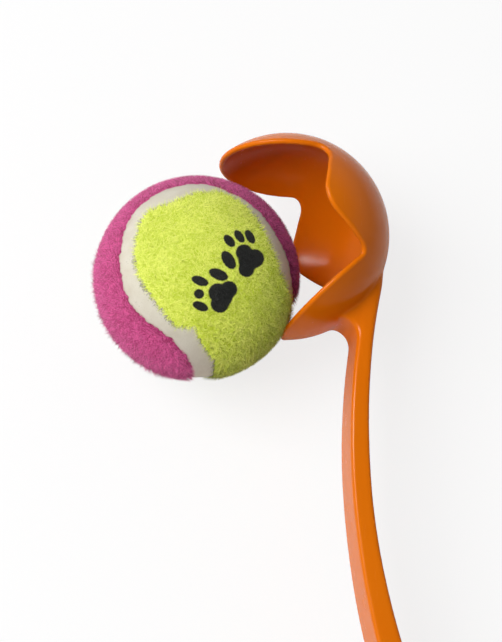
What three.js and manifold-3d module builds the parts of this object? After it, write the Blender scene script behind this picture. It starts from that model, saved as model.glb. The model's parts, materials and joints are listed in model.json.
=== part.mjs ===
// Dog ball thrower: a one-piece moulding with a cup, a springy shaft and a hand grip, and the felt
// ball that lies at the mouth of the cup. Millimetres, +Z up. The thrower lies on its side.
//
// The thrower is drawn flat in its own frame first. The centre of the cup is zero, x points to the
// back of the cup, y to its top finger, and z across the thrower, so x and y draw its side view.

import * as THREE from 'three';
import { mergeVertices } from 'three/addons/utils/BufferGeometryUtils.js';
import Module from 'manifold-3d';

const wasm = await Module();
wasm.setup();

// The ball, from the outside inwards
const ballRadius = 32.1;
const feltThickness = 3.2;
const coreWall = 3.3;
const seamWidth = 6.6;
const seamSink = 0.5;
const layerGap = 0.3;
const seamWaveShares = { third: 0.337, fifth: -0.0555, lift: 1.008, liftThird: -0.0704 };
const ballTiltDegrees = -79.7;
const ballLeanDegrees = -37.6;
const ballSpinDegrees = 47.7;

// The cup that grips the ball
const ballClearance = 0.3;
const cupWall = 1.8;
const fingerTipRadius = 4.5;
const fingerCornerRadius = 3.5;
const lobeCornerRadius = 9;
const notchCornerRadius = 3.1;

// The side view of the mouth, as shares of the cup's outer radius. It runs down the finger's tip,
// along its edge, round the side lobe and the notch, and out along the bottom lobe.
const mouthShares = {
  farTop: [-1.228, 1.2],
  aboveTip: [-0.585, 1.2],
  fingerTip: [-0.585, 0.724],
  fingerCorner: [0.345, 0.649],
  lobeCorner: [0.178, 0.026],
  notchCorner: [0.652, -0.389],
  bottomEdge: [-0.323, -1.152],
  farBottom: [-1.228, -1.152],
};

// The handle's middle line: it bends back off the cup, runs straight and eases into the grip
const shaftStandoff = 18.5;
const shaftApexDrop = 84.5;
const shaftBendRadius = 250;
const neckReach = 76.5;
const shaftSlopeDegrees = 16;
const shaftRunLength = 130;
const easeRadius = 300;
const gripSlopeDegrees = 6;
const gripLength = 115;

// The handle's sections: thickness front to back, width across, and edge rounding
const neckTopThickness = 4.2;
const neckTopWidth = 10;
const neckThickness = 5.1;
const neckWidth = 17;
const neckRootLength = 13;
const neckLength = 34;
const neckFilletRadius = 5.9;
const neckWebInset = 0.6;
const shaftThickness = 5.8;
const shaftWidth = 17;
const shaftEndThickness = 7.4;
const shaftEndWidth = 19.4;
const tailThickness = 10;
const tailWidth = 23;
const gripThickness = 16;
const gripWidth = 27;
const shaftEdgeRadius = 1.1;
const gripEdgeRadius = 4;
const fingerGrooveDepth = 2.4;
const fingerGrooveCount = 4;
const gripPlainLength = 12;
const buttRoundLength = 8;

// The ball comes out of the cup on an arc, and lies this far round it from its seat
const arcPivot = { x: 12.5, y: -63.5 };
const ballOutDegrees = 30.5;

// Fineness of the faceting
const cupDivisionCount = 11;
const feltOuterDivisionCount = 7;
const feltInnerDivisionCount = 5;
const coreSegmentCount = 28;
const coreRingCount = 7;
const seamStepCount = 84;
const neckStep = 1.6;
const shaftStep = 9;
const gripStep = 4;
const cornerStepCount = 3;
const arcPointCount = 6;
const searchRoundCount = 30;
const buttStopShares = [0.35, 0.65, 0.85, 0.96];

const cupInnerRadius = ballRadius + ballClearance;
const cupOuterRadius = cupInnerRadius + cupWall;
const feltInnerRadius = ballRadius - feltThickness;
const coreRadius = feltInnerRadius - layerGap;
const orange = 0xd86c0a;

const radians = THREE.MathUtils.degToRad;
const toFlatAxis = new THREE.Vector3(0, 0, 1);

// A closed geometry as a solid that can be joined and cut
function solid(geometry) {
  const bare = new THREE.BufferGeometry();
  bare.setAttribute('position', geometry.getAttribute('position'));
  bare.setIndex(geometry.getIndex());
  const merged = mergeVertices(bare);
  return new wasm.Manifold(new wasm.Mesh({
    numProp: 3,
    vertProperties: new Float32Array(merged.getAttribute('position').array),
    triVerts: new Uint32Array(merged.getIndex().array),
  }));
}

// A solid as a geometry
function geometryOf(shape) {
  const mesh = shape.getMesh();
  const geometry = new THREE.BufferGeometry();
  const points = new Float32Array(mesh.vertProperties);
  geometry.setAttribute('position', new THREE.BufferAttribute(points, mesh.numProp));
  geometry.setIndex(new THREE.BufferAttribute(new Uint32Array(mesh.triVerts), 1));
  geometry.computeVertexNormals();
  return geometry;
}

function ballSolid(radius, detail) {
  return solid(new THREE.IcosahedronGeometry(radius, detail));
}

// A closed outline whose corners are rounded, each by its own radius
function roundedOutline(corners) {
  const shape = new THREE.Shape();
  corners.forEach(({ at, radius }, index) => {
    const before = corners[(index + corners.length - 1) % corners.length].at;
    const after = corners[(index + 1) % corners.length].at;
    const toBefore = before.clone().sub(at).normalize();
    const toAfter = after.clone().sub(at).normalize();
    const halfAngle = Math.acos(toBefore.dot(toAfter)) / 2;
    const setback = radius / Math.tan(halfAngle);
    const start = at.clone().addScaledVector(toBefore, setback);
    const end = at.clone().addScaledVector(toAfter, setback);
    if (index === 0) shape.moveTo(start.x, start.y);
    else shape.lineTo(start.x, start.y);
    if (radius > 0) {
      const bisector = toBefore.clone().add(toAfter).normalize();
      const centre = at.clone().addScaledVector(bisector, radius / Math.sin(halfAngle));
      const from = Math.atan2(start.y - centre.y, start.x - centre.x);
      const to = Math.atan2(end.y - centre.y, end.x - centre.x);
      const turnsRight = toBefore.cross(toAfter) > 0;
      shape.absarc(centre.x, centre.y, radius, from, to, turnsRight);
    }
  });
  shape.closePath();
  return shape;
}

// What the mouth takes out of the ball-shaped cup, cut square across in side view
function mouthCutter() {
  const radii = {
    fingerTip: fingerTipRadius,
    fingerCorner: fingerCornerRadius,
    lobeCorner: lobeCornerRadius,
    notchCorner: notchCornerRadius,
  };
  const corners = Object.entries(mouthShares).map(([name, [x, y]]) => ({
    at: new THREE.Vector2(x, y).multiplyScalar(cupOuterRadius),
    radius: radii[name] ?? 0,
  }));
  const depth = 4 * cupOuterRadius;
  const geometry = new THREE.ExtrudeGeometry(roundedOutline(corners), {
    depth,
    bevelEnabled: false,
    curveSegments: arcPointCount,
  });
  geometry.translate(0, 0, -depth / 2);
  return solid(geometry);
}

// The handle's middle line in stretches, each with its length and how far it turns
function handleStretches() {
  const neckAngle = Math.asin(neckReach / shaftBendRadius);
  const shaftSlope = radians(shaftSlopeDegrees);
  const easeTurn = shaftSlope - radians(gripSlopeDegrees);
  return {
    start: new THREE.Vector2(
      shaftStandoff + shaftBendRadius * (1 - Math.cos(neckAngle)),
      -shaftApexDrop + neckReach,
    ),
    heading: -neckAngle,
    upperBend: shaftBendRadius * neckAngle,
    stretches: [
      { length: shaftBendRadius * (neckAngle + shaftSlope), turn: neckAngle + shaftSlope },
      { length: shaftRunLength, turn: 0 },
      { length: easeRadius * easeTurn, turn: -easeTurn },
      { length: gripLength, turn: 0 },
    ],
  };
}

// Point and heading of the middle line at a distance from its start. Heading zero points down -y,
// and a growing heading swings towards +x.
function pointOnHandle(path, distance) {
  const point = path.start.clone();
  let heading = path.heading;
  let left = distance;
  for (const { length, turn } of path.stretches) {
    const run = Math.min(left, length);
    const turned = turn * run / length;
    const chordShare = turned === 0 ? 1 : Math.sin(turned / 2) / (turned / 2);
    const along = heading + turned / 2;
    point.x += run * chordShare * Math.sin(along);
    point.y -= run * chordShare * Math.cos(along);
    heading += turned;
    left -= run;
    if (left <= 0) break;
  }
  return { point, heading };
}

// Values between keyed stations, eased so that the handle swells smoothly
function keyed(keys, distance, field) {
  const next = keys.findIndex((key) => key.at >= distance);
  if (next <= 0) return keys[next === 0 ? 0 : keys.length - 1][field];
  const from = keys[next - 1];
  const to = keys[next];
  const share = THREE.MathUtils.smoothstep(distance, from.at, to.at);
  return THREE.MathUtils.lerp(from[field], to[field], share);
}

// Evenly spread stops over spans of their own spacing, the far end among them
function stopsAlong(spans) {
  const stops = [0];
  for (const { to, step } of spans) {
    const from = stops[stops.length - 1];
    const count = Math.max(Math.round((to - from) / step), 1);
    for (let index = 1; index <= count; index++) stops.push(from + (to - from) * index / count);
  }
  return stops;
}

// The neck, shaft and grip as one bar with rounded edges
function handleGeometry() {
  const path = handleStretches();
  const ends = [];
  path.stretches.reduce((sum, { length }) => {
    ends.push(sum + length);
    return sum + length;
  }, 0);
  const [bendEnd, straightEnd, gripStart, total] = ends;
  const edge = shaftEdgeRadius;
  const keys = [
    { at: 0, thickness: neckTopThickness, width: neckTopWidth, edge },
    { at: neckRootLength, thickness: neckThickness, width: neckWidth, edge },
    { at: neckLength, thickness: neckThickness, width: neckWidth, edge },
    { at: path.upperBend, thickness: shaftThickness, width: shaftWidth, edge },
    { at: bendEnd, thickness: shaftEndThickness, width: shaftEndWidth, edge },
    { at: straightEnd, thickness: tailThickness, width: tailWidth, edge: 2 * edge },
    { at: gripStart + gripPlainLength, thickness: gripThickness, width: gripWidth, edge: gripEdgeRadius },
    { at: total, thickness: gripThickness, width: gripWidth, edge: gripEdgeRadius },
  ];

  const grooveStart = gripStart + gripPlainLength;
  const grooveEnd = total - gripPlainLength;
  const buttStart = total - buttRoundLength;
  const stops = stopsAlong([
    { to: neckLength, step: neckStep },
    { to: gripStart, step: shaftStep },
    { to: buttStart, step: gripStep },
  ]);
  buttStopShares.forEach((share) => stops.push(buttStart + buttRoundLength * share));

  const rings = stops.map((at) => {
    const { point, heading } = pointOnHandle(path, at);
    const back = new THREE.Vector2(Math.cos(heading), Math.sin(heading));
    let front = keyed(keys, at, 'thickness') / 2;
    let rear = front;
    if (at > grooveStart && at < grooveEnd) {
      const wave = (at - grooveStart) / (grooveEnd - grooveStart) * fingerGrooveCount;
      front -= fingerGrooveDepth * (1 - Math.cos(2 * Math.PI * wave)) / 2;
    }
    const buttShare = Math.max(at - buttStart, 0) / buttRoundLength;
    const roundShare = Math.sqrt(1 - buttShare ** 2);
    front *= roundShare;
    rear *= roundShare;
    const halfWidth = keyed(keys, at, 'width') / 2;
    const radius = Math.min(keyed(keys, at, 'edge'), 0.9 * Math.min(front, rear));
    return ringPoints(point, back, front, rear, halfWidth, radius);
  });
  return loft(rings);
}

// One rounded section of the handle, square to its middle line
function ringPoints(point, back, front, rear, halfWidth, radius) {
  const corners = [
    { depth: rear - radius, side: halfWidth - radius, from: 0 },
    { depth: -(front - radius), side: halfWidth - radius, from: Math.PI / 2 },
    { depth: -(front - radius), side: -(halfWidth - radius), from: Math.PI },
    { depth: rear - radius, side: -(halfWidth - radius), from: 3 * Math.PI / 2 },
  ];
  const ring = [];
  for (const { depth, side, from } of corners) {
    for (let step = 0; step <= cornerStepCount; step++) {
      const angle = from + step / cornerStepCount * Math.PI / 2;
      const reach = depth + radius * Math.cos(angle);
      const place = point.clone().addScaledVector(back, reach);
      ring.push([place.x, place.y, side + radius * Math.sin(angle)]);
    }
  }
  return ring;
}

// The web that rounds off the corner between the bottom lobe and the front of the neck. Its arc
// touches the front of the neck, and the cup where the neck's edge meets it.
function neckWeb() {
  const path = handleStretches();
  const touchRadius = Math.sqrt(cupOuterRadius ** 2 - (neckWidth / 2) ** 2);
  const offFront = (at, gap) => {
    const { point, heading } = pointOnHandle(path, at);
    const back = new THREE.Vector2(Math.cos(heading), Math.sin(heading));
    return point.addScaledVector(back, -(neckThickness / 2 + gap));
  };
  let low = neckRootLength;
  let high = 2 * neckLength;
  for (let round = 0; round < searchRoundCount; round++) {
    const middle = (low + high) / 2;
    const reach = offFront(middle, neckFilletRadius).length();
    if (reach < touchRadius + neckFilletRadius) low = middle;
    else high = middle;
  }
  const centre = offFront(low, neckFilletRadius);
  const onFront = offFront(low, 0).sub(centre).angle();
  const onCup = centre.clone().negate().angle();
  const root = pointOnHandle(path, neckRootLength).point;
  const foot = pointOnHandle(path, low).point;
  const shape = new THREE.Shape();
  shape.moveTo(foot.x, foot.y);
  shape.lineTo(root.x, root.y);
  shape.absarc(centre.x, centre.y, neckFilletRadius, onCup, onFront, true);
  shape.closePath();
  const depth = neckWidth - 2 * neckWebInset;
  const geometry = new THREE.ExtrudeGeometry(shape, {
    depth,
    bevelEnabled: false,
    curveSegments: arcPointCount,
  });
  geometry.translate(0, 0, -depth / 2);
  return solid(geometry);
}

// A closed skin over rings of equally many points, with a fan at each end
function loft(rings) {
  const count = rings[0].length;
  const places = rings.flat();
  const faces = [];
  for (let ring = 0; ring < rings.length - 1; ring++) {
    for (let step = 0; step < count; step++) {
      const a = ring * count + step;
      const b = ring * count + (step + 1) % count;
      faces.push(a, b, a + count, b, b + count, a + count);
    }
  }
  const last = (rings.length - 1) * count;
  for (let step = 1; step < count - 1; step++) {
    faces.push(0, step + 1, step);
    faces.push(last, last + step, last + step + 1);
  }
  return geometryFrom(places, faces);
}

function geometryFrom(places, faces) {
  const geometry = new THREE.BufferGeometry();
  geometry.setAttribute('position', new THREE.Float32BufferAttribute(places.flat(), 3));
  geometry.setIndex(faces);
  return geometry;
}

// The one-piece moulding
function throwerGeometry() {
  const bowl = ballSolid(cupOuterRadius, cupDivisionCount).subtract(mouthCutter());
  const body = bowl.add(solid(handleGeometry())).add(neckWeb());
  return geometryOf(body.subtract(ballSolid(cupInnerRadius, cupDivisionCount)));
}

// A strip along the ball's seam, from one radius to another: a closed loop of four-sided sections
function seamStrip(lowRadius, highRadius, width) {
  const { third, fifth, lift, liftThird } = seamWaveShares;
  const onSeam = (angle) => new THREE.Vector3(
    Math.cos(angle) + third * Math.cos(3 * angle) + fifth * Math.cos(5 * angle),
    Math.sin(angle) - third * Math.sin(3 * angle) + fifth * Math.sin(5 * angle),
    lift * Math.sin(2 * angle) + liftThird * Math.sin(6 * angle),
  ).normalize();
  const spread = width / 2 / ballRadius;
  const places = [];
  const faces = [];
  const sides = 4;
  for (let step = 0; step < seamStepCount; step++) {
    const angle = 2 * Math.PI * step / seamStepCount;
    const nudge = Math.PI / seamStepCount;
    const out = onSeam(angle);
    const along = onSeam(angle + nudge).sub(onSeam(angle - nudge)).normalize();
    const across = new THREE.Vector3().crossVectors(out, along);
    const rim = (side) => out.clone().multiplyScalar(Math.cos(spread))
      .addScaledVector(across, side * Math.sin(spread));
    places.push(rim(-1).multiplyScalar(lowRadius).toArray());
    places.push(rim(-1).multiplyScalar(highRadius).toArray());
    places.push(rim(1).multiplyScalar(highRadius).toArray());
    places.push(rim(1).multiplyScalar(lowRadius).toArray());
    const next = (step + 1) % seamStepCount * sides;
    for (let side = 0; side < sides; side++) {
      const a = step * sides + side;
      const b = step * sides + (side + 1) % sides;
      const c = next + side;
      const d = next + (side + 1) % sides;
      faces.push(a, c, b, b, c, d);
    }
  }
  return geometryFrom(places, faces);
}

// The two felt panels: a hollow ball, split along the seam. The first lies on the seam frame's -z.
function feltPanels() {
  const groove = seamStrip(coreRadius, ballRadius + feltThickness, seamWidth + 2 * layerGap);
  const inside = ballSolid(feltInnerRadius, feltInnerDivisionCount);
  const skin = ballSolid(ballRadius, feltOuterDivisionCount).subtract(inside);
  const panels = skin.subtract(solid(groove)).decompose().map(geometryOf);
  const height = (geometry) => {
    geometry.computeBoundingBox();
    return geometry.boundingBox.getCenter(new THREE.Vector3()).z;
  };
  return panels.sort((one, other) => height(one) - height(other));
}

// One half of the hollow rubber core, its open rim towards -y
function coreShell() {
  const rim = layerGap / 2;
  const quarterArc = (radius) => {
    const points = [];
    for (let step = 0; step < coreRingCount; step++) {
      const angle = Math.PI / 2 * step / coreRingCount;
      const height = Math.max(radius * Math.sin(angle), rim);
      points.push(new THREE.Vector2(radius * Math.cos(angle), height));
    }
    points.push(new THREE.Vector2(0, radius));
    return points;
  };
  const profile = [...quarterArc(coreRadius - coreWall).reverse(), ...quarterArc(coreRadius)];
  const geometry = new THREE.LatheGeometry(profile, coreSegmentCount);
  return geometryOf(solid(geometry));
}

function named(name, geometry, color, roughness) {
  const material = new THREE.MeshStandardMaterial({ color, roughness, metalness: 0 });
  const mesh = new THREE.Mesh(geometry, material);
  mesh.name = name;
  return mesh;
}

// The pitch at which the thrower lies on its side, on the rim of the cup and the butt of the grip
function restPitch(geometry) {
  const points = geometry.getAttribute('position');
  let pitch = 0;
  const lowest = (isCup) => {
    let found = null;
    for (let index = 0; index < points.count; index++) {
      const y = points.getY(index);
      const z = points.getZ(index);
      const height = y * Math.sin(pitch) + z * Math.cos(pitch);
      if ((y > -cupOuterRadius) === isCup && (found === null || height < found.height)) {
        found = { y, z, height };
      }
    }
    return found;
  };
  for (let round = 0; round < 4; round++) {
    const cup = lowest(true);
    const butt = lowest(false);
    pitch = Math.atan2(butt.z - cup.z, cup.y - butt.y);
  }
  return pitch;
}

function ballGroup() {
  const ball = new THREE.Group();
  const [yellow, pink] = feltPanels();
  ball.add(named('felt_yellow', yellow, 0xd2dc3c, 1));
  ball.add(named('felt_pink', pink, 0xcf4a90, 1));
  const seam = geometryOf(solid(seamStrip(feltInnerRadius, ballRadius - seamSink, seamWidth)));
  ball.add(named('seam_rubber', seam, 0xdcd5c6, 0.8));
  ball.add(named('core_shell_front', coreShell(), 0x3a3a38, 0.9));
  const rear = named('core_shell_back', coreShell(), 0x3a3a38, 0.9);
  rear.rotation.x = Math.PI;
  ball.add(rear);
  ball.rotation.set(radians(ballTiltDegrees), radians(ballLeanDegrees), radians(ballSpinDegrees));
  const pivot = new THREE.Vector3(arcPivot.x, arcPivot.y, 0);
  const fromPivot = pivot.clone().negate().applyAxisAngle(toFlatAxis, radians(ballOutDegrees));
  ball.position.copy(pivot).add(fromPivot);
  return ball;
}

const thrower = named('thrower', throwerGeometry(), orange, 0.35);

const lying = new THREE.Group();
lying.add(thrower, ballGroup());
lying.rotation.x = restPitch(thrower.geometry);

// The origin is the middle of the whole object's footprint, on the surface it lies on
const group = new THREE.Group();
group.add(lying);
const bounds = new THREE.Box3().setFromObject(group, true);
const middle = bounds.getCenter(new THREE.Vector3());
lying.position.set(-middle.x, -middle.y, -bounds.min.z);

export default group;
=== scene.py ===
import json
import math

import bmesh
import bpy
import numpy as np
from mathutils import Matrix, Vector


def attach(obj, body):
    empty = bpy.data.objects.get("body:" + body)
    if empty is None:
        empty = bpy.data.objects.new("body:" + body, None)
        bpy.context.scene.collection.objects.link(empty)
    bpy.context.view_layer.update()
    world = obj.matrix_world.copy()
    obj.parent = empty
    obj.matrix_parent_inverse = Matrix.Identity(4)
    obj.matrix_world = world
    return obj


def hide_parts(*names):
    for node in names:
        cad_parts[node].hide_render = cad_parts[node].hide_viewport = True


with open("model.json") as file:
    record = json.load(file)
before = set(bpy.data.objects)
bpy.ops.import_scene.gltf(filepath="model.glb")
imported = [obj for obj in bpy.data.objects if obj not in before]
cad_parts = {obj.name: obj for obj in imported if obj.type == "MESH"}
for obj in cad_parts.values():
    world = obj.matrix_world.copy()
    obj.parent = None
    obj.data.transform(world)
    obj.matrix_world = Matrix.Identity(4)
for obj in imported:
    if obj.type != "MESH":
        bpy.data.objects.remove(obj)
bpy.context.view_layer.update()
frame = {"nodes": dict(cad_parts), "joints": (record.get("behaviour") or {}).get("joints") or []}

# The dog ball thrower lies on its side, with its felt ball at the mouth of the cup.
# Thrower and ball are modelled flat, with the cup's centre at zero, x to the back of the cup,
# y to its top finger and z across it, and are then laid down where the frame has them.

mm = 0.001

# Where the frame holds the cup and the ball
arcPivot = Vector((12.5 * mm, -63.5 * mm, 0))
ballTurnDegrees = (-79.7, -37.6, 47.7)

ballJoint = frame["joints"][0]
acrossAxis = Vector(ballJoint["axis"])
layFlat = Matrix.Rotation(math.atan2(-acrossAxis.y, acrossAxis.z), 4, "X")
cupCentre = Vector(ballJoint["pos_m"]) - layFlat @ arcPivot
placeThrower = Matrix.Translation(cupCentre) @ layFlat
ballOut = Matrix.Rotation(math.radians(-ballJoint["range_deg"][0]), 4, "Z")
placeBall = placeThrower @ Matrix.Translation(arcPivot + ballOut @ -arcPivot)
ballCentre = placeBall.translation.copy()
for degrees, axis in zip(ballTurnDegrees, "XYZ"):
    placeBall = placeBall @ Matrix.Rotation(math.radians(degrees), 4, axis)


def linear(hexColour):  # an sRGB hex colour as Blender's linear one
    parts = [int(hexColour[start:start + 2], 16) / 255 for start in (1, 3, 5)]
    return [c / 12.92 if c <= 0.04045 else ((c + 0.055) / 1.055) ** 2.4 for c in parts] + [1]


def addNode(tree, kind, inputs=(), **settings):  # adds a node with its settings and links
    node = tree.nodes.new("ShaderNode" + kind)
    for name, value in settings.items():
        setattr(node, name, value)
    for socket, value in dict(inputs).items():
        if isinstance(value, bpy.types.NodeSocket):
            tree.links.new(value, node.inputs[socket])
        else:
            node.inputs[socket].default_value = value
    return node


def newMaterial(name):  # a material without nodes yet
    material = bpy.data.materials.new(name)
    material.use_nodes = True
    material.node_tree.nodes.clear()
    return material


def selectOnly(piece):
    bpy.ops.object.select_all(action="DESELECT")
    piece.select_set(True)
    bpy.context.view_layer.objects.active = piece


def selectWhere(piece, kind, test):  # in edit mode, selects the vertices or faces by a test
    bpy.ops.mesh.select_mode(type=kind)
    bpy.ops.mesh.select_all(action="DESELECT")
    shape = bmesh.from_edit_mesh(piece.data)
    for part in shape.verts if kind == "VERT" else shape.faces:
        part.select_set(bool(test(part)))
    shape.select_flush_mode()
    bmesh.update_edit_mesh(piece.data)


def applyModifier(piece, kind, **settings):
    modifier = piece.modifiers.new(kind.title(), kind)
    for name, value in settings.items():
        setattr(modifier, name, value)
    selectOnly(piece)
    bpy.ops.object.modifier_apply(modifier=modifier.name)


def placesOf(mesh):
    places = np.empty(len(mesh.vertices) * 3)
    mesh.vertices.foreach_get("co", places)
    return places.reshape(-1, 3)


def cutOrJoin(piece, tool, operation):  # a boolean with another shape, which is used up
    applyModifier(piece, "BOOLEAN", object=tool, operation=operation, solver="EXACT")
    bpy.data.objects.remove(tool, do_unlink=True)
    # A boolean's points and faces come in another order each run, so they are sorted by place
    places = placesOf(piece.data)
    order = np.lexsort(places.T)
    rank = np.argsort(order).tolist()
    faces = []
    for face in piece.data.polygons:
        corners = [rank[corner] for corner in face.vertices]
        first = corners.index(min(corners))
        faces.append(corners[first:] + corners[:first])
    piece.data.clear_geometry()
    piece.data.from_pydata(places[order], [], sorted(faces))


def finishPiece(piece, name, place, material, body, nodes=()):
    piece.name = piece.data.name = name
    piece.matrix_world = place
    selectOnly(piece)
    bpy.ops.object.transform_apply(location=True, rotation=True, scale=True)
    bpy.ops.object.shade_smooth()
    piece.data.materials.clear()
    piece.data.materials.append(material)
    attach(piece, body)
    if nodes:
        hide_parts(*nodes)
    print(name, len(piece.data.polygons), "faces")


# The cup: a hollow ball whose mouth is cut straight through in side view

cup = {
    "ballSpace": 32.4 * mm,
    "wall": 1.8 * mm,
    "segments": 192,
    "rings": 120,
    "rimThickness": 2.1 * mm,
    "rimSteps": 4,
    "wallFacing": 0.99,  # a cut face leans off the ball's radius by more than this cosine
    "mergeDistance": 0.1 * mm,
    "lowerStretch": 1.015,  # the half on the handle's side reaches out a little further
    # Corners of the mouth, as shares of the cup's outer radius, each with its rounding. They run
    # along the edge of the finger, round the side lobe and the notch, and out below.
    "mouth": [
        (-1.2, 0.83, 0), (0.37, 0.673, 5.2 * mm), (0.214, 0.04, 9.5 * mm),
        (0.663, -0.37, 3.4 * mm), (-0.305, -1.165, 0), (-1.2, -1.165, 0),
    ],
    "cornerSteps": 12,
    "sameSpot": 0.01 * mm,
}
cupOuter = cup["ballSpace"] + cup["wall"]
cupMiddle = cup["ballSpace"] + cup["wall"] / 2


def ballShape(radius):
    bpy.ops.object.select_all(action="DESELECT")
    bpy.ops.mesh.primitive_uv_sphere_add(
        segments=cup["segments"], ring_count=cup["rings"], radius=radius)
    return bpy.context.object


def sideBlock(outline, halfWidth):  # a block drawn in side view: x, y and rounding of each corner
    corners = [Vector((x, y, 0)) for x, y, _ in outline]
    bpy.ops.object.select_all(action="DESELECT")
    bpy.ops.mesh.primitive_circle_add(vertices=len(corners), fill_type="NGON")
    block = bpy.context.object
    for vertex, corner in zip(block.data.vertices, corners):
        vertex.co = corner
    bpy.ops.object.mode_set(mode="EDIT")
    for index, corner in enumerate(corners):
        rounding = outline[index][2]
        if rounding:
            toBefore = corners[index - 1] - corner
            toAfter = corners[(index + 1) % len(corners)] - corner
            setback = rounding / math.tan(toBefore.angle(toAfter) / 2)
            selectWhere(
                block, "VERT", lambda vertex: (vertex.co - corner).length < cup["sameSpot"])
            bpy.ops.mesh.bevel(offset=setback, segments=cup["cornerSteps"], affect="VERTICES")
    bpy.ops.mesh.select_all(action="SELECT")
    bpy.ops.transform.translate(value=(0, 0, -halfWidth))
    bpy.ops.mesh.extrude_region_move(TRANSFORM_OT_translate={"value": (0, 0, 2 * halfWidth)})
    bpy.ops.mesh.select_all(action="SELECT")
    bpy.ops.mesh.normals_make_consistent(inside=False)
    bpy.ops.object.mode_set(mode="OBJECT")
    return block


def openCup():  # the middle of the wall is cut by the mouth, thickened and given a round rim
    sheet = ballShape(cupMiddle)
    mouth = [(x * cupOuter, y * cupOuter, rounding) for x, y, rounding in cup["mouth"]]
    cutOrJoin(sheet, sideBlock(mouth, 2 * cupOuter), "DIFFERENCE")
    selectOnly(sheet)
    bpy.ops.object.mode_set(mode="EDIT")
    selectWhere(sheet, "FACE", lambda face: (
        face.normal.dot(face.calc_center_median().normalized()) < cup["wallFacing"]))
    bpy.ops.mesh.delete(type="FACE")
    bpy.ops.mesh.select_mode(type="VERT")
    bpy.ops.mesh.select_all(action="SELECT")
    bpy.ops.mesh.remove_doubles(threshold=cup["mergeDistance"])
    selectWhere(sheet, "VERT", lambda vertex: vertex.co.y < 0)
    bpy.ops.transform.resize(value=(1, cup["lowerStretch"], 1), center_override=(0, 0, 0))
    bpy.ops.mesh.select_all(action="DESELECT")
    bpy.ops.mesh.select_non_manifold()
    bpy.ops.mesh.duplicate()
    bpy.ops.mesh.separate(type="SELECTED")
    bpy.ops.object.mode_set(mode="OBJECT")
    rim = [piece for piece in bpy.context.selected_objects if piece is not sheet][0]
    selectOnly(rim)
    bpy.ops.object.convert(target="CURVE")
    rim = bpy.context.object
    rim.data.bevel_depth = cup["rimThickness"] / 2
    rim.data.bevel_resolution = cup["rimSteps"]
    bpy.ops.object.convert(target="MESH")
    rim = bpy.context.object
    applyModifier(sheet, "SOLIDIFY", thickness=cup["wall"], offset=0)
    rim.select_set(True)
    bpy.ops.object.join()
    return sheet


# The handle: it bends back off the cup, runs straight and eases into the grip

handle = {
    "standoff": 18.5 * mm,
    "apexDrop": 84.5 * mm,
    "bendRadius": 250 * mm,
    "neckReach": 76.5 * mm,
    "slopeDegrees": 16,
    "runLength": 130 * mm,
    "easeRadius": 300 * mm,
    "gripSlopeDegrees": 6,
    "gripLength": 115 * mm,
    "neckRoot": 13 * mm,
    "neckLength": 34 * mm,
    "neckThickness": 5.5 * mm,
    "neckWidth": 17 * mm,
    "filletRadius": 6.1 * mm,
    "filletSteps": 96,
    "footPlaces": 2000,  # places tried for the foot of the fillet
    "webInset": 0.3 * mm,
    "grooveDepth": 2.4 * mm,
    "grooves": 4,
    "plainGrip": 12 * mm,
    "buttRound": 8 * mm,
    "gripRounding": 4 * mm,
    "roundingSteps": 4,
    "roundingLimit": 0.9,  # of the half thickness that the rounding lies on
    "placeGrid": 0.01 * mm,
    "neckStep": 1.6 * mm,
    "shaftStep": 6 * mm,
    "gripStep": 2.5 * mm,
    "buttStops": [0.2, 0.4, 0.6, 0.75, 0.87, 0.95],
    "voxel": 0.42 * mm,
    "smoothFactor": 0.5,
    "smoothing": 7,
    "rootMiddle": (22 * mm, -24 * mm, 0),  # where the neck runs into the cup
    "rootReach": 25 * mm,
    "rootSmoothing": 50,
    "triangles": 190000,
}
neckAngle = math.asin(handle["neckReach"] / handle["bendRadius"])
shaftSlope = math.radians(handle["slopeDegrees"])
easeTurn = shaftSlope - math.radians(handle["gripSlopeDegrees"])
# Length and turn of each stretch of the middle line
stretches = [
    (handle["bendRadius"] * (neckAngle + shaftSlope), neckAngle + shaftSlope),
    (handle["runLength"], 0),
    (handle["easeRadius"] * easeTurn, -easeTurn),
    (handle["gripLength"], 0),
]
bendEnd, runEnd, gripStart, handleEnd = np.cumsum([length for length, _ in stretches])
grooveStart = gripStart + handle["plainGrip"]
grooveEnd = handleEnd - handle["plainGrip"]
buttStart = handleEnd - handle["buttRound"]
# Distance along the handle, thickness front to back, width across, and rounding of the edges
stations = [
    (0, 4.2 * mm, 10 * mm, 1.1 * mm),
    (handle["neckRoot"], handle["neckThickness"], handle["neckWidth"], 1.1 * mm),
    (handle["neckLength"], handle["neckThickness"], handle["neckWidth"], 1.1 * mm),
    (handle["bendRadius"] * neckAngle, 6.3 * mm, 17 * mm, 1.1 * mm),
    (bendEnd, 7.9 * mm, 19.4 * mm, 1.1 * mm),
    (runEnd, 10.3 * mm, 23 * mm, 2.2 * mm),
    (grooveStart, 16 * mm, 27 * mm, handle["gripRounding"]),
    (handleEnd, 16 * mm, 27 * mm, handle["gripRounding"]),
]


def handleLine(distance):  # point and heading of the middle line; heading zero runs down -y
    point = Vector((
        handle["standoff"] + handle["bendRadius"] * (1 - math.cos(neckAngle)),
        handle["neckReach"] - handle["apexDrop"], 0))
    heading, left = -neckAngle, distance
    for length, turn in stretches:
        run = min(max(left, 0), length)
        turned = turn * run / length
        chord = run * (math.sin(turned / 2) / (turned / 2) if turned else 1)
        along = heading + turned / 2
        point += Vector((math.sin(along), -math.cos(along), 0)) * chord
        heading += turned
        left -= length
    return point, heading


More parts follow.
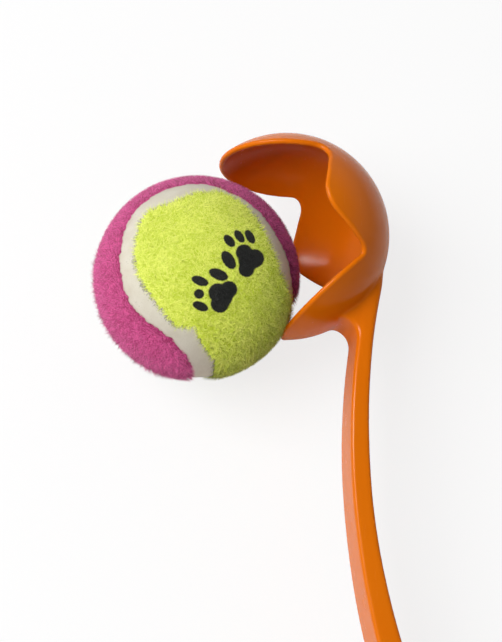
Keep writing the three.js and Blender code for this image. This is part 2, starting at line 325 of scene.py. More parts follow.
def handleSection(distance):  # centre, heading, thickness, width and edge rounding
    for before, after in zip(stations, stations[1:]):
        if distance <= after[0]:
            share = (distance - before[0]) / (after[0] - before[0])
            share = share * share * (3 - 2 * share)
            sizes = [low + (high - low) * share for low, high in zip(before[1:], after[1:])]
            break
    thickness, width, edge = sizes
    front = rear = thickness / 2
    if grooveStart < distance < grooveEnd:
        wave = (distance - grooveStart) / (grooveEnd - grooveStart) * handle["grooves"]
        front -= handle["grooveDepth"] * (1 - math.cos(2 * math.pi * wave)) / 2
    buttShare = max(distance - buttStart, 0) / handle["buttRound"]
    front *= math.sqrt(1 - buttShare ** 2)
    rear *= math.sqrt(1 - buttShare ** 2)
    point, heading = handleLine(distance)
    centre = point + Vector((math.cos(heading), math.sin(heading), 0)) * (rear - front) / 2
    edge = min(edge, handle["roundingLimit"] * front, handle["roundingLimit"] * rear)
    return centre, heading, front + rear, width, edge


def evenStops(start, end, step):
    return list(np.linspace(start, end, max(round((end - start) / step), 1) + 1))[1:]


def handleBar():
    stops = [0] + evenStops(0, handle["neckLength"], handle["neckStep"])
    stops += evenStops(handle["neckLength"], gripStart, handle["shaftStep"])
    stops += evenStops(gripStart, buttStart, handle["gripStep"])
    stops += [buttStart + handle["buttRound"] * share for share in handle["buttStops"]]
    sections = [handleSection(stop) for stop in stops]
    bpy.ops.object.select_all(action="DESELECT")
    bpy.ops.mesh.primitive_plane_add(size=1, rotation=(math.radians(90), 0, 0))
    bar = bpy.context.object
    bpy.ops.object.transform_apply(location=False, rotation=True, scale=False)
    bpy.ops.object.mode_set(mode="EDIT")
    bpy.ops.mesh.select_all(action="SELECT")
    last = (Vector((0, 0, 0)), 0, 1, 1)
    for section in sections:
        centre, heading, thickness, width, _ = section
        move = centre - last[0]
        if section is sections[0]:
            bpy.ops.transform.translate(value=move)
        else:
            bpy.ops.mesh.extrude_region_move(TRANSFORM_OT_translate={"value": move})
        # With no window, rotate turns the other way round
        bpy.ops.transform.rotate(value=last[1] - heading, orient_axis="Z", center_override=centre)
        bpy.ops.transform.resize(
            value=(thickness / last[2], 1, width / last[3]), orient_type="GLOBAL",
            orient_matrix=Matrix.Rotation(heading, 3, "Z"), orient_matrix_type="GLOBAL",
            center_override=centre)
        last = section
    bpy.ops.mesh.select_all(action="SELECT")
    bpy.ops.mesh.normals_make_consistent(inside=False)
    bpy.ops.object.mode_set(mode="OBJECT")
    # The long edges are rounded, each by its own share of the grip's rounding
    weights = bar.data.attributes.new("bevel_weight_edge", "FLOAT", "EDGE")
    for edge, weight in zip(bar.data.edges, weights.data):
        rings = [vertex // 4 for vertex in edge.vertices]
        if rings[0] != rings[1]:
            weight.value = sum(sections[ring][4] for ring in rings) / 2 / handle["gripRounding"]
    applyModifier(
        bar, "BEVEL", width=handle["gripRounding"], segments=handle["roundingSteps"],
        limit_method="WEIGHT", use_clamp_overlap=False)
    # The last digits of a bevel change from run to run, so its places are put on a fine grid
    onGrid = np.round(placesOf(bar.data) / handle["placeGrid"]) * handle["placeGrid"]
    bar.data.vertices.foreach_set("co", onGrid.ravel())
    bar.data.update()
    return bar


def offFront(distance, gap):  # a point this far off the front of the neck
    point, heading = handleLine(distance)
    forward = Vector((math.cos(heading), math.sin(heading), 0))
    return point - forward * (handle["neckThickness"] / 2 + gap)


def neckWeb():  # rounds off the corner between the bottom lobe and the front of the neck
    radius = handle["filletRadius"]
    touchRadius = math.sqrt(cupOuter ** 2 - (handle["neckWidth"] / 2) ** 2)
    places = np.linspace(handle["neckRoot"], 2 * handle["neckLength"], handle["footPlaces"])
    foot = min(
        places, key=lambda place: abs(offFront(place, radius).length - touchRadius - radius))
    centre = offFront(foot, radius)
    outline = [
        handleLine(foot)[0], handleLine(handle["neckRoot"])[0], centre.normalized() * touchRadius,
        centre, offFront(foot, 0)]
    halfWidth = handle["neckWidth"] / 2 - handle["webInset"]
    web = sideBlock([(corner.x, corner.y, 0) for corner in outline], halfWidth)
    bpy.ops.object.select_all(action="DESELECT")
    bpy.ops.mesh.primitive_cylinder_add(
        vertices=handle["filletSteps"], radius=radius, depth=3 * halfWidth, location=centre)
    cutOrJoin(web, bpy.context.object, "DIFFERENCE")
    return web


# The thrower is injection-moulded polypropylene: an even, saturated orange with a soft gloss,
# which catches the white room along every grazing edge. Flow in the mould leaves the surface
# very slightly wavy, and handling leaves faint dull marks.
def mouldedPolypropylene():
    material = newMaterial("mouldedPolypropylene")
    tree = material.node_tree
    place = addNode(tree, "TexCoord").outputs["Object"]
    flow = addNode(
        tree, "TexNoise", {"Vector": place, "Scale": 1 / (28 * mm), "Detail": 2}).outputs["Fac"]
    waviness = addNode(
        tree, "TexNoise", {"Vector": place, "Scale": 1 / (9 * mm), "Detail": 1}).outputs["Fac"]
    grain = addNode(
        tree, "TexNoise", {"Vector": place, "Scale": 1 / (0.35 * mm), "Detail": 2}).outputs["Fac"]
    lengthwise = addNode(tree, "Mapping", {"Vector": place, "Scale": (1, 0.16, 1)})
    scuffs = addNode(tree, "TexNoise", {
        "Vector": lengthwise.outputs["Vector"], "Scale": 1 / (1.6 * mm), "Detail": 5,
        "Roughness": 0.7}).outputs["Fac"]
    colour = addNode(tree, "Mix", {
        0: flow, 6: linear("#DE6D05"), 7: linear("#E57508")}, data_type="RGBA").outputs[2]
    scuffed = addNode(tree, "MapRange", {
        "Value": scuffs, "From Min": 0.58, "From Max": 0.74, "To Min": 0.0, "To Max": 0.14})
    roughness = addNode(tree, "MapRange", {
        "Value": flow, "From Min": 0.3, "From Max": 0.7, "To Min": 0.17, "To Max": 0.23})
    roughness = addNode(tree, "Math", {
        0: roughness.outputs["Result"], 1: scuffed.outputs["Result"]},
        operation="ADD").outputs["Value"]
    bump = addNode(tree, "Bump", {"Height": waviness, "Strength": 0.5, "Distance": 0.05 * mm})
    bump = addNode(tree, "Bump", {
        "Height": grain, "Strength": 0.3, "Distance": 0.008 * mm, "Normal": bump.outputs["Normal"]})
    plastic = addNode(tree, "BsdfPrincipled", {
        "Base Color": colour, "Roughness": roughness, "IOR": 1.49, "Specular IOR Level": 0.1,
        "Normal": bump.outputs["Normal"]})
    addNode(tree, "OutputMaterial", {"Surface": plastic.outputs["BSDF"]})
    return material


bar = handleBar()
cutOrJoin(bar, neckWeb(), "UNION")
cutOrJoin(bar, ballShape(cupMiddle), "DIFFERENCE")
thrower = openCup()
bar.select_set(True)
bpy.ops.object.join()
applyModifier(thrower, "REMESH", mode="VOXEL", voxel_size=handle["voxel"])
applyModifier(
    thrower, "SMOOTH", factor=handle["smoothFactor"], iterations=handle["smoothing"])
# The neck's root is smoothed further, fully in the inner half of its reach
root = thrower.vertex_groups.new(name="root")
for vertex in thrower.data.vertices:
    share = 1 - (vertex.co - Vector(handle["rootMiddle"])).length / handle["rootReach"]
    if share > 0:
        root.add([vertex.index], min(2 * share, 1), "REPLACE")
applyModifier(
    thrower, "SMOOTH", factor=handle["smoothFactor"], iterations=handle["rootSmoothing"],
    vertex_group="root")
thrower.data.calc_loop_triangles()
print("thrower remeshed with", len(thrower.data.loop_triangles), "triangles")
applyModifier(thrower, "DECIMATE", ratio=handle["triangles"] / len(thrower.data.loop_triangles))
finishPiece(
    thrower, "throwerMoulding", placeThrower, mouldedPolypropylene(), "thrower",
    ["thrower"])


# The ball: two felt panels over a rubber core, with a strip of seam cement between them

ball = {
    "radius": 32.15 * mm,
    "feltDepth": 2.4 * mm,
    "edgeDrop": 0.3 * mm,
    "edgeRounding": 1.2 * mm,
    "overhang": 0.6 * mm,  # how far each piece is drawn past its edge, sloping down steeply
    "slope": 2.2,
    "lumps": 0.12 * mm,
    "lumpWaves": (9, 26),  # radians of the large and of the small waves along one radius
    "lumpCount": 20,  # waves of each size, laid over each other
    "lumpPhases": 6.28,
    "lumpEasing": 1.5,
    "smallLumps": 0.4,  # their height beside the large ones
    "seamLumps": 0.5,  # the seam's beside the felt's
    "feltTop": 32.22 * mm,  # the felt clears the inside of the cup's rim
    "feltTone": 0.3,
    "seamRadius": 32.2 * mm,
    "seamDepth": 1.8 * mm,
    "yellowFromSeam": 3.4 * mm,  # from the seam's middle line to each cut edge
    "pinkFromSeam": 3.9 * mm,
    "divisions": 7,
    "seamSteps": 1440,
    "batches": 50,  # places are compared with the seam's line in this many goes
    # How the seam winds round the ball: shares of its third and fifth waves, its lift and its
    # lift's third wave
    "wave": (0.337, -0.0555, 1.008, -0.0704),
    # How far the cut edges of the felt stray across the seam, in mm, at degrees round it
    "yellowStray": [
        (120, 0), (140, 1), (148, -0.5), (158, -0.4), (163, -2.8), (168, 1.8), (177, 0.6),
        (188, -0.4), (211, -0.1), (220, 1.4), (229, -2.8), (233, -2.6), (237, -1.2), (242, -0.1),
        (247, 1.7), (258, 1.3), (278, 0.8), (290, -0.4), (302, 1.3), (320, 0)],
    "pinkStray": [
        (120, 0), (138, 1.2), (152, -0.4), (165, -0.5), (177, 0.8), (189, 1.2), (198, -0.2),
        (209, -0.8), (218, 0.9), (232, 0.8), (243, 0.1), (250, -2.3), (271, -0.3), (287, 1),
        (300, -2.3), (320, 0)],
    # Ragged edge: turns round the seam of each small wave, and its height
    "ragWaves": [
        (41, 0.18 * mm), (67, 0.16 * mm), (97, 0.16 * mm), (139, 0.14 * mm), (191, 0.12 * mm)],
}
ballRandom = np.random.default_rng(31)


def unit(vectors):
    return vectors / np.linalg.norm(vectors, axis=-1, keepdims=True)


def onSeam(turn):
    third, fifth, lift, liftThird = ball["wave"]
    return unit(np.stack([
        np.cos(turn) + third * np.cos(3 * turn) + fifth * np.cos(5 * turn),
        np.sin(turn) - third * np.sin(3 * turn) + fifth * np.sin(5 * turn),
        lift * np.sin(2 * turn) + liftThird * np.sin(6 * turn)], axis=-1))


seamTurns = np.linspace(0, 2 * math.pi, ball["seamSteps"], endpoint=False)
seamLine = onSeam(seamTurns)
seamAcross = np.cross(seamLine, unit(np.roll(seamLine, -1, 0) - np.roll(seamLine, 1, 0)))


def raggedEdge(stray):  # how far a cut edge strays at each of the seam's turns
    at, shift = np.array(stray).T
    edge = np.interp(np.degrees(seamTurns), at, shift * mm)
    for turns, height in ball["ragWaves"]:
        edge += height * np.sin(turns * seamTurns + ballRandom.uniform(0, 2 * math.pi))
    return edge


yellowEdge = raggedEdge(ball["yellowStray"]) - ball["yellowFromSeam"]
pinkEdge = raggedEdge(ball["pinkStray"]) + ball["pinkFromSeam"]


def distanceInside(directions):  # how far in from the yellow and the pink edge each place is
    nearest = np.concatenate([
        np.argmax(part @ seamLine.T, axis=1)
        for part in np.array_split(directions, ball["batches"])])
    offset = ball["radius"] * np.arcsin(np.sum(directions * seamAcross[nearest], axis=1))
    return yellowEdge[nearest] - offset, offset - pinkEdge[nearest]


lumpWaves = [(
    unit(ballRandom.normal(size=(ball["lumpCount"], 3))) * size,
    ballRandom.uniform(0, ball["lumpPhases"], ball["lumpCount"])) for size in ball["lumpWaves"]]


def lumpiness(directions):  # soft lumps, about 20 mm and 8 mm long
    large, small = [
        np.sin(directions @ waves.T + phases).sum(axis=1) / math.sqrt(ball["lumpCount"] / 2)
        for waves, phases in lumpWaves]
    return ball["lumps"] * (large + ball["smallLumps"] * small) / ball["lumpEasing"]


def feltRadius(directions, inside):  # the felt rounds off towards its cut edge
    share = np.clip(inside / ball["edgeRounding"], 0, 1)
    rounded = ball["edgeDrop"] * (1 - np.sqrt(1 - (1 - share) ** 2))
    lumpy = np.minimum(ball["radius"] + lumpiness(directions), ball["feltTop"])
    return lumpy - rounded - ball["slope"] * np.maximum(-inside, 0)


def seamRadius(directions, inside):  # the seam dips where it runs in under the felt
    lumpy = ball["seamRadius"] + ball["seamLumps"] * lumpiness(directions)
    return lumpy - ball["slope"] * np.maximum(-inside, 0)


def ballCover(insideOf, radiusAt, depth):  # the part of the ball that one piece covers
    bpy.ops.object.select_all(action="DESELECT")
    bpy.ops.mesh.primitive_ico_sphere_add(subdivisions=ball["divisions"], radius=1)
    cover = bpy.context.object
    inside = insideOf(unit(placesOf(cover.data)))
    bpy.ops.object.mode_set(mode="EDIT")
    selectWhere(cover, "VERT", lambda vertex: inside[vertex.index] < -ball["overhang"])
    bpy.ops.mesh.delete(type="VERT")
    bpy.ops.object.mode_set(mode="OBJECT")
    directions = unit(placesOf(cover.data))
    places = directions * radiusAt(directions, insideOf(directions))[:, None]
    cover.data.vertices.foreach_set("co", places.ravel())
    applyModifier(cover, "SOLIDIFY", thickness=depth, offset=-1)
    return cover


def insideYellow(directions):
    return distanceInside(directions)[0]


def insidePink(directions):
    return distanceInside(directions)[1]


def insideSeam(directions):
    return -np.maximum(*distanceInside(directions))


# The nap: loose wool fibres that stand up off the felt

nap = {
    "fibres": 49000,
    "spare": 3,  # so many times the fibres are drawn all over the ball, to find enough inside
    "edgeGap": 0.05 * mm,
    "edgeLength": 0.28,  # share of its length that a fibre has at the cut edge
    "edgeReach": 2.2 * mm,
    "length": (2.4 * mm, 4.2 * mm),
    "leanDegrees": (48, 72),
    "thickness": (0.1 * mm, 0.42 * mm),  # from a single fibre to a small tuft
    "rootDepth": 0.2 * mm,
    "strayShare": 0.06,
    "strayLength": (3 * mm, 4.6 * mm),
    "strayLeanDegrees": (15, 55),
    "top": 34.05 * mm,  # the tallest fibre, so that none comes through the cup's wall
    "openTop": 35.3 * mm,  # the same on the side that the cup never covers
    "openFrom": 0.72,  # cosine of how far that side reaches
    "downFrom": 0.5,  # fibres that point down by more than this share stop at the ground
    "rootTurns": (90, 210, 330),  # degrees round a fibre of the three corners of its root
    "toneAndShade": 0.5,  # from 0, dark, to 1, light
    "toneSpread": 0.75,
    # painted shade in the nap: each fibre is darker at its root and lighter at its tip
    "rootPaintedShade": -0.3,
    "tipPaintedLight": 0.2,
    "edgeTone": -0.3,
    "edgeToneReach": 2 * mm,
}


def withinTop(out, tip):  # no fibre reaches past the nap's top, nor into what the ball lies on
    openSide = placeBall.to_3x3().inverted() @ (layFlat @ ballOut).to_3x3() @ Vector((-1, 0, 0))
    top = np.where(out @ np.array(openSide) > nap["openFrom"], nap["openTop"], nap["top"])
    reach = np.linalg.norm(tip, axis=1)
    down = -(tip @ np.array(placeBall)[2, :3]) / reach
    limit = np.minimum(top, ballCentre.z / np.maximum(down, nap["downFrom"]))
    return tip * np.minimum(1, limit / reach)[:, None]


def feltNap(insideOf, seed):  # each fibre is a slim spike with a three-sided root
    random = np.random.default_rng(seed)
    count = nap["fibres"]
    out = unit(random.normal(size=(count * nap["spare"], 3)))
    inside = insideOf(out)
    chosen = np.flatnonzero(inside > nap["edgeGap"])[:count]
    out, inside = out[chosen], inside[chosen]
    count = len(chosen)
    stray = random.random(count) < nap["strayShare"]
    length = np.where(
        stray, random.uniform(*nap["strayLength"], count), random.uniform(*nap["length"], count))
    length *= np.clip(nap["edgeLength"] + inside / nap["edgeReach"], 0, 1)
    lean = np.radians(np.where(
        stray, random.uniform(*nap["strayLeanDegrees"], count),
        random.uniform(*nap["leanDegrees"], count)))
    side = unit(np.cross(out, random.normal(size=(count, 3))))
    along = out * np.cos(lean)[:, None] + side * np.sin(lean)[:, None]
    root = out * (feltRadius(out, inside) - nap["rootDepth"])[:, None]
    tip = withinTop(out, root + along * length[:, None])
    first = unit(np.cross(along, out)) * random.uniform(*nap["thickness"], (count, 1)) / 2
    second = np.cross(along, first)
    corners = [
        root + first * math.cos(turn) + second * math.sin(turn)
        for turn in np.radians(nap["rootTurns"])]
    places = np.stack(corners + [tip], axis=1).reshape(-1, 3)
    pattern = np.array([[0, 2, 1], [0, 1, 3], [1, 2, 3], [2, 0, 3]])
    faces = (np.arange(count)[:, None, None] * 4 + pattern).reshape(-1, 3)
    mesh = bpy.data.meshes.new("feltNap")
    mesh.from_pydata(places, [], faces)
    toneAndShade = random.normal(nap["toneAndShade"], nap["toneSpread"], count)
    toneAndShade += nap["edgeTone"] * np.clip(1 - inside / nap["edgeToneReach"], 0, 1)
    # Painted shade in the nap: the root of each fibre is darker and its tip lighter
    toneAndShade = np.repeat(toneAndShade, 4) + np.tile([nap["rootPaintedShade"]] * 3 + [nap["tipPaintedLight"]], count)
    mesh.attributes.new("toneAndShade", "FLOAT", "POINT").data.foreach_set("value", toneAndShade)
    # Each fibre is lit as the felt under it is, so that the nap reads as one soft surface
    mesh.normals_split_custom_set_from_vertices(np.repeat(out, 4, axis=0))
    piece = bpy.data.objects.new("feltNap", mesh)
    bpy.context.scene.collection.objects.link(piece)
    return piece


# Two paw prints in black ink, placed on the ball as it lies, in mm right and up of its centre
pawPrints = {
    "right": (0.9881, -0.0515, 0.1449),
    "up": (-0.0001, 0.9422, 0.3351),
    "inkSpread": 0.35 * mm,
    "inkGrain": 0.5 * mm,
    "padBlend": 0.25,  # how softly the rounds of a pad run into each other
    "outline": (1.06, 0.94),  # of a spot's own size, where the ink begins and is full
    # Right, up and radius of the rounds that make each pad
    "pads": [
        [(15.6, 7.4, 2.6), (18.9, 5.7, 2.9), (16.3, 2.2, 2.4), (17, 4.9, 3.2)],
        [(7.5, -5.1, 2.9), (10.9, -4.1, 2.6), (8.1, -8.5, 2.8), (9, -6.3, 3.1)],
    ],
    # Right, up, half length, half width and slant of each toe
    "toes": [
        (11, 11, 2.25, 1.35, -48), (14.1, 12.5, 2.25, 1.25, -55), (17.4, 12.5, 2.4, 1.25, -60),
        (10.8, 5, 3.15, 1.8, -57), (2, -1.5, 2.7, 1.4, -20), (1.7, -5.5, 1.55, 1.5, 0),
        (2.1, -9.3, 2.5, 1.35, -22), (7.7, 0.5, 3.1, 1.65, -22),
    ],
}


def printInk(tree, place):  # 1 where the paw prints are inked
    right, up = Vector(pawPrints["right"]), Vector(pawPrints["up"])
    toPrint = Matrix((right, up, right.cross(up)))
    flat = addNode(tree, "Mapping", {
        "Vector": place, "Rotation": toPrint.to_euler(),
        "Location": -(toPrint @ ballCentre)}).outputs["Vector"]
    spread = addNode(
        tree, "TexNoise", {"Vector": place, "Scale": 1 / pawPrints["inkGrain"], "Detail": 2})
    spread = addNode(tree, "VectorMath", {
        0: spread.outputs["Color"], 1: (0.5, 0.5, 0.5)}, operation="SUBTRACT").outputs["Vector"]
    flat = addNode(tree, "VectorMath", {
        0: spread, 1: (2 * pawPrints["inkSpread"],) * 3, 2: flat},
        operation="MULTIPLY_ADD").outputs["Vector"]

    def fromSpot(x, y, long, short, slant):  # 1 on the spot's outline, less inside it
        scaled = addNode(tree, "Mapping", {
            "Vector": flat, "Location": (x * mm, y * mm, 0),
            "Rotation": (0, 0, math.radians(slant)),
            "Scale": (long * mm, short * mm, 1)}, vector_type="TEXTURE").outputs["Vector"]
        return addNode(tree, "VectorMath", {0: scaled}, operation="LENGTH").outputs["Value"]

    nearest = None
    for rounds in pawPrints["pads"]:
        pad = None
        for x, y, radius in rounds:
            spot = fromSpot(x, y, radius, radius, 0)
            pad = spot if pad is None else addNode(
                tree, "Math", {0: pad, 1: spot, 2: pawPrints["padBlend"]},
                operation="SMOOTH_MIN").outputs["Value"]
        nearest = pad if nearest is None else addNode(
            tree, "Math", {0: nearest, 1: pad}, operation="MINIMUM").outputs["Value"]
    for toe in pawPrints["toes"]:
        nearest = addNode(
            tree, "Math", {0: nearest, 1: fromSpot(*toe)}, operation="MINIMUM").outputs["Value"]
    inked = addNode(tree, "MapRange", {
        "Value": nearest, "From Min": pawPrints["outline"][0], "From Max": pawPrints["outline"][1],
        "To Min": 0.0, "To Max": 1.0})
    # The prints are on the near side of the ball alone
    height = addNode(tree, "SeparateXYZ", {"Vector": flat}).outputs["Z"]
    nearSide = addNode(tree, "Math", {0: height, 1: 0.0}, operation="GREATER_THAN")
    return addNode(tree, "Math", {
        0: inked.outputs["Result"], 1: nearSide.outputs["Value"]},
        operation="MULTIPLY").outputs["Value"]


# The panels are napped wool and nylon felt, dyed and raised with wire brushes: matt and soft,
# with a tone that varies at random in tufts and patches and is darker towards the cut edges.
# Each fibre is also painted darker at its root and lighter at its tip: painted shade in the nap.
def nappedFelt(name, dark, light, printed):
    material = newMaterial(name)
    tree = material.node_tree
    place = addNode(tree, "TexCoord").outputs["Object"]
    # The fibres' tone holds random tone and painted shade, darker at each root and lighter at each
    # tip
    toneAndShade = addNode(tree, "Attribute", attribute_name="toneAndShade").outputs["Fac"]
    tufts = addNode(tree, "TexNoise", {
        "Vector": place, "Scale": 1 / (1.1 * mm), "Detail": 3, "Roughness": 0.65}).outputs["Fac"]
    patches = addNode(
        tree, "TexNoise", {"Vector": place, "Scale": 1 / (7 * mm), "Detail": 2}).outputs["Fac"]
    fibres = addNode(
        tree, "TexNoise", {"Vector": place, "Scale": 1 / (0.25 * mm), "Detail": 2}).outputs["Fac"]
    blend = addNode(
        tree, "Math", {0: tufts, 1: 1.7, 2: toneAndShade}, operation="MULTIPLY_ADD").outputs["Value"]
    blend = addNode(
        tree, "Math", {0: patches, 1: 1.1, 2: blend}, operation="MULTIPLY_ADD").outputs["Value"]
    blend = addNode(tree, "MapRange", {
        "Value": blend, "From Min": 1.1, "From Max": 2.6,
        "To Min": 0.0, "To Max": 1.0}).outputs["Result"]
    colour = addNode(
        tree, "Mix", {0: blend, 6: linear(dark), 7: linear(light)}, data_type="RGBA").outputs[2]
    if printed:
        colour = addNode(tree, "Mix", {
            0: printInk(tree, place), 6: colour, 7: linear("#0F110D")}, data_type="RGBA").outputs[2]
    bump = addNode(tree, "Bump", {"Height": fibres, "Strength": 0.25, "Distance": 0.1 * mm})
    felt = addNode(tree, "BsdfPrincipled", {
        "Base Color": colour, "Roughness": 0.65, "IOR": 1.45, "Specular IOR Level": 0.45,
        "Diffuse Roughness": 1.0, "Sheen Weight": 0.1, "Sheen Roughness": 0.6,
        "Normal": bump.outputs["Normal"]})
    addNode(tree, "OutputMaterial", {"Surface": felt.outputs["BSDF"]})
    return material


# The seam is rubber cement that was brushed on and vulcanised: matt cream, faintly mottled,
# with a skin of fine wrinkles and dust.
def creamSeamCement():
    material = newMaterial("creamSeamCement")
    tree = material.node_tree
    place = addNode(tree, "TexCoord").outputs["Object"]
    mottling = addNode(
        tree, "TexNoise", {"Vector": place, "Scale": 1 / (4 * mm), "Detail": 4}).outputs["Fac"]
    dust = addNode(tree, "TexNoise", {
        "Vector": place, "Scale": 1 / (0.4 * mm), "Detail": 3, "Roughness": 0.7}).outputs["Fac"]
    colour = addNode(tree, "Mix", {
        0: mottling, 6: linear("#C9C0AC"), 7: linear("#DEDACC")}, data_type="RGBA").outputs[2]
    dusty = addNode(tree, "MapRange", {
        "Value": dust, "From Min": 0.56, "From Max": 0.75,
        "To Min": 0.0, "To Max": 0.35}).outputs["Result"]
    colour = addNode(
        tree, "Mix", {0: dusty, 6: colour, 7: linear("#A89C86")}, data_type="RGBA").outputs[2]
    # Loose ends of the yellow felt's backing lie on it in a band of about 2 mm
    fromYellow = addNode(tree, "Attribute", attribute_name="fromYellow").outputs["Fac"]
    atEdge = addNode(tree, "MapRange", {
        "Value": fromYellow, "From Min": 0.5, "From Max": 2.6, "To Min": 0.18, "To Max": -0.1})
    atEdge = addNode(tree, "Math", {
        0: mottling, 1: 0.6, 2: atEdge.outputs["Result"]},
        operation="MULTIPLY_ADD").outputs["Value"]
    threads = addNode(tree, "TexNoise", {
        "Vector": place, "Scale": 1 / (0.45 * mm), "Detail": 2, "Roughness": 0.6}).outputs["Fac"]
    frayed = addNode(tree, "Math", {0: threads, 1: atEdge}, operation="ADD").outputs["Value"]
    frayed = addNode(tree, "MapRange", {
        "Value": frayed, "From Min": 0.92, "From Max": 1.0,
        "To Min": 0.0, "To Max": 0.75}).outputs["Result"]
    colour = addNode(
        tree, "Mix", {0: frayed, 6: colour, 7: linear("#7C775E")}, data_type="RGBA").outputs[2]
    bump = addNode(tree, "Bump", {"Height": dust, "Strength": 0.6, "Distance": 0.12 * mm})
    bump = addNode(tree, "Bump", {
        "Height": mottling, "Strength": 0.5, "Distance": 0.3 * mm,
        "Normal": bump.outputs["Normal"]})
    cement = addNode(tree, "BsdfPrincipled", {
        "Base Color": colour, "Roughness": 0.7, "IOR": 1.52, "Specular IOR Level": 0.3,
        "Normal": bump.outputs["Normal"]})
    addNode(tree, "OutputMaterial", {"Surface": cement.outputs["BSDF"]})
    return material


# The core is moulded rubber, dark and dull, with a fine bloom.
def mouldedCoreRubber():
    material = newMaterial("mouldedCoreRubber")
    tree = material.node_tree
    place = addNode(tree, "TexCoord").outputs["Object"]
    bloom = addNode(
        tree, "TexNoise", {"Vector": place, "Scale": 1 / (3 * mm), "Detail": 4}).outputs["Fac"]
    colour = addNode(tree, "Mix", {
        0: bloom, 6: linear("#2C2C2A"), 7: linear("#3E3E3B")}, data_type="RGBA").outputs[2]
    bump = addNode(tree, "Bump", {"Height": bloom, "Strength": 0.3, "Distance": 0.1 * mm})
    rubber = addNode(tree, "BsdfPrincipled", {
        "Base Color": colour, "Roughness": 0.8, "IOR": 1.52, "Normal": bump.outputs["Normal"]})
    addNode(tree, "OutputMaterial", {"Surface": rubber.outputs["BSDF"]})
    return material


yellowFelt = nappedFelt("nappedYellowFelt", "#CBDC1C", "#FAFF82", printed=True)
pinkFelt = nappedFelt("nappedPinkFelt", "#A6145A", "#EE64AC", printed=False)
panels = [
    ("Yellow", insideYellow, yellowFelt, "yellow_felt", "felt_yellow", 5),
    ("Pink", insidePink, pinkFelt, "pink_felt", "felt_pink", 6),
]
for name, insideOf, material, slot, node, seed in panels:
    panel = ballCover(insideOf, feltRadius, ball["feltDepth"])
    toneAndShade = panel.data.attributes.new("toneAndShade", "FLOAT", "POINT")
    toneAndShade.data.foreach_set("value", np.full(len(panel.data.vertices), ball["feltTone"]))
    finishPiece(panel, "felt" + name, placeBall, material, "ball", [node])
    fibres = feltNap(insideOf, seed)
    fibres.visible_shadow = False  # fibres this fine let the light through
    finishPiece(fibres, "nap" + name, placeBall, material, "ball")

seam = ballCover(insideSeam, seamRadius, ball["seamDepth"])
fromYellow = seam.data.attributes.new("fromYellow", "FLOAT", "POINT")
fromYellow.data.foreach_set("value", -insideYellow(unit(placesOf(seam.data))) / mm)
finishPiece(
    seam, "seamCement", placeBall, creamSeamCement(), "ball", ["seam_rubber"])

coreRubber = mouldedCoreRubber()
for name in ("core_shell_front", "core_shell_back"):
    for materialSlot in frame["nodes"][name].material_slots:
        materialSlot.material = coreRubber


# The stage: a plain pale floor in a white room, a broad soft lamp at upper left, and two lamps
# beside it that only make highlights

stage = {
    "floorHalf": 3.0,
    "floorPaint": (0.8, 0.8, 0.8, 1),
    "white": (1, 1, 1, 1),
    "floorShadow": 0.22,  # share of the floor's white that can fall into shadow
    "shadowFade": (0.45, 1.1),  # how far out the floor turns plain white
    "mirroredShadow": 0.95,  # the same for the floor as the object mirrors it
    "roomLight": 0.27,
    "ceilingFrom": (0.3, 0.6),  # how high the walls, as seen and mirrored, turn to the ceiling
    "ceilingDark": 0.05,
    # Direction from the ball, distance, width, height, power, and whether it makes highlights
    "lamps": {
        "broadLamp": ((-0.64, 0.03, 0.77), 1.2, 0.9, 0.9, 14.8, False),
        "longLamp": ((-0.64, 0.24, 0.73), 1.2, 0.14, 0.75, 16.5, True),
        "smallLamp": ((-0.65, 0.1, 0.75), 1.2, 0.1, 0.3, 1.4, True),
    },
}


def straightSight(tree):  # 1 for what is seen directly, mirrored or through something
    ray = addNode(tree, "LightPath").outputs
    seen = addNode(tree, "Math", {
        0: ray["Is Camera Ray"], 1: ray["Is Glossy Ray"]}, operation="MAXIMUM").outputs["Value"]
    return addNode(tree, "Math", {
        0: seen, 1: ray["Is Transmission Ray"]}, operation="MAXIMUM").outputs["Value"]


floorPaint = newMaterial("paleFloorPaint")
tree = floorPaint.node_tree
lit = addNode(tree, "BsdfDiffuse", {"Color": stage["floorPaint"]}).outputs["BSDF"]
fromMiddle = addNode(tree, "VectorMath", {
    0: addNode(tree, "TexCoord").outputs["Object"]}, operation="LENGTH").outputs["Value"]
seenShadow = addNode(tree, "MapRange", {
    "Value": fromMiddle, "From Min": stage["shadowFade"][0], "From Max": stage["shadowFade"][1],
    "To Min": stage["floorShadow"], "To Max": 0.0}).outputs["Result"]
share = addNode(tree, "MapRange", {
    "Value": addNode(tree, "LightPath").outputs["Is Glossy Ray"],
    "To Min": seenShadow, "To Max": stage["mirroredShadow"]}).outputs["Result"]
shaded = addNode(tree, "BsdfDiffuse", {"Color": share}).outputs["BSDF"]
steady = addNode(tree, "Math", {0: 1.0, 1: share}, operation="SUBTRACT").outputs["Value"]
white = addNode(tree, "Emission", {"Strength": steady}).outputs["Emission"]
seenFloor = addNode(tree, "AddShader", {0: shaded, 1: white}).outputs["Shader"]
floorMix = addNode(
    tree, "MixShader", {0: straightSight(tree), 1: lit, 2: seenFloor}).outputs["Shader"]
addNode(tree, "OutputMaterial", {"Surface": floorMix})

bpy.ops.object.select_all(action="DESELECT")
bpy.ops.mesh.primitive_plane_add(size=2 * stage["floorHalf"])
floor = bpy.context.object
floor.name = "paleFloor"
floor.data.materials.append(floorPaint)

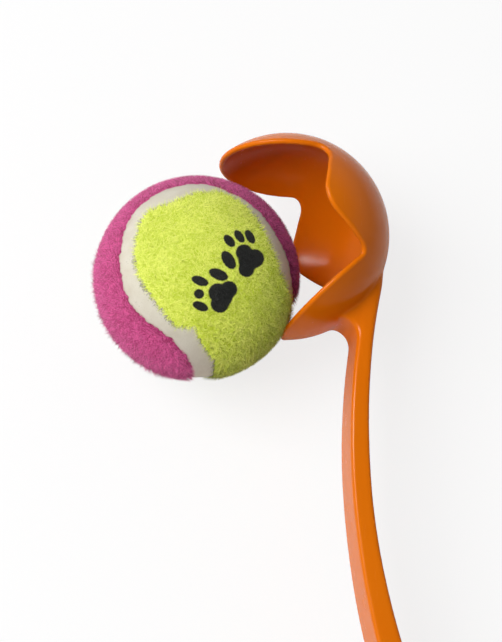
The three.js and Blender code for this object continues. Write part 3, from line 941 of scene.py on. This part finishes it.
world = bpy.data.worlds.new("whiteRoom")
world.use_nodes = True
bpy.context.scene.world = world
tree = world.node_tree
tree.nodes.clear()
height = addNode(tree, "SeparateXYZ", {
    "Vector": addNode(tree, "TexCoord").outputs["Generated"]}).outputs["Z"]
walls = addNode(tree, "MapRange", {
    "Value": height, "From Min": stage["ceilingFrom"][0], "From Max": stage["ceilingFrom"][1],
    "To Min": 1.0, "To Max": stage["ceilingDark"]})
room = addNode(tree, "Background", {
    "Color": stage["white"], "Strength": stage["roomLight"]}).outputs["Background"]
backdrop = addNode(tree, "Background", {
    "Color": stage["white"], "Strength": walls.outputs["Result"]}).outputs["Background"]
roomMix = addNode(
    tree, "MixShader", {0: straightSight(tree), 1: room, 2: backdrop}).outputs["Shader"]
addNode(tree, "OutputWorld", {"Surface": roomMix})

for name, (direction, distance, width, height, power, forHighlights) in stage["lamps"].items():
    lampData = bpy.data.lights.new(name, "AREA")
    lampData.shape = "RECTANGLE"
    lampData.size, lampData.size_y = width, height
    lampData.energy = power
    lamp = bpy.data.objects.new(name, lampData)
    bpy.context.scene.collection.objects.link(lamp)
    lamp.location = ballCentre + Vector(direction).normalized() * distance
    lamp.rotation_euler = Vector(direction).to_track_quat("Z", "Y").to_euler()
    lamp.visible_glossy = forHighlights
    lamp.visible_diffuse = not forHighlights

# The camera stands where the photograph's camera stood
camera = {
    "place": (-0.11152, -0.00326, 0.53403),
    "right": (0.9881, -0.0515, 0.1449),
    "back": (-0.1538, -0.3312, 0.9310),
    "lens": 92.61,
    "sensor": 36,
    "clipStart": 0.01,
}
cameraData = bpy.data.cameras.new("photoCamera")
cameraData.lens = camera["lens"]
cameraData.sensor_width = camera["sensor"]
cameraData.clip_start = camera["clipStart"]
photoCamera = bpy.data.objects.new("photoCamera", cameraData)
bpy.context.scene.collection.objects.link(photoCamera)
cameraRight, cameraBack = Vector(camera["right"]), Vector(camera["back"])
cameraTurn = Matrix((cameraRight, cameraBack.cross(cameraRight), cameraBack)).transposed().to_4x4()
photoCamera.matrix_world = Matrix.Translation(camera["place"]) @ cameraTurn
bpy.context.scene.camera = photoCamera
bpy.context.scene.view_settings.view_transform = "Standard"
print("stage, lamps and camera are in place")
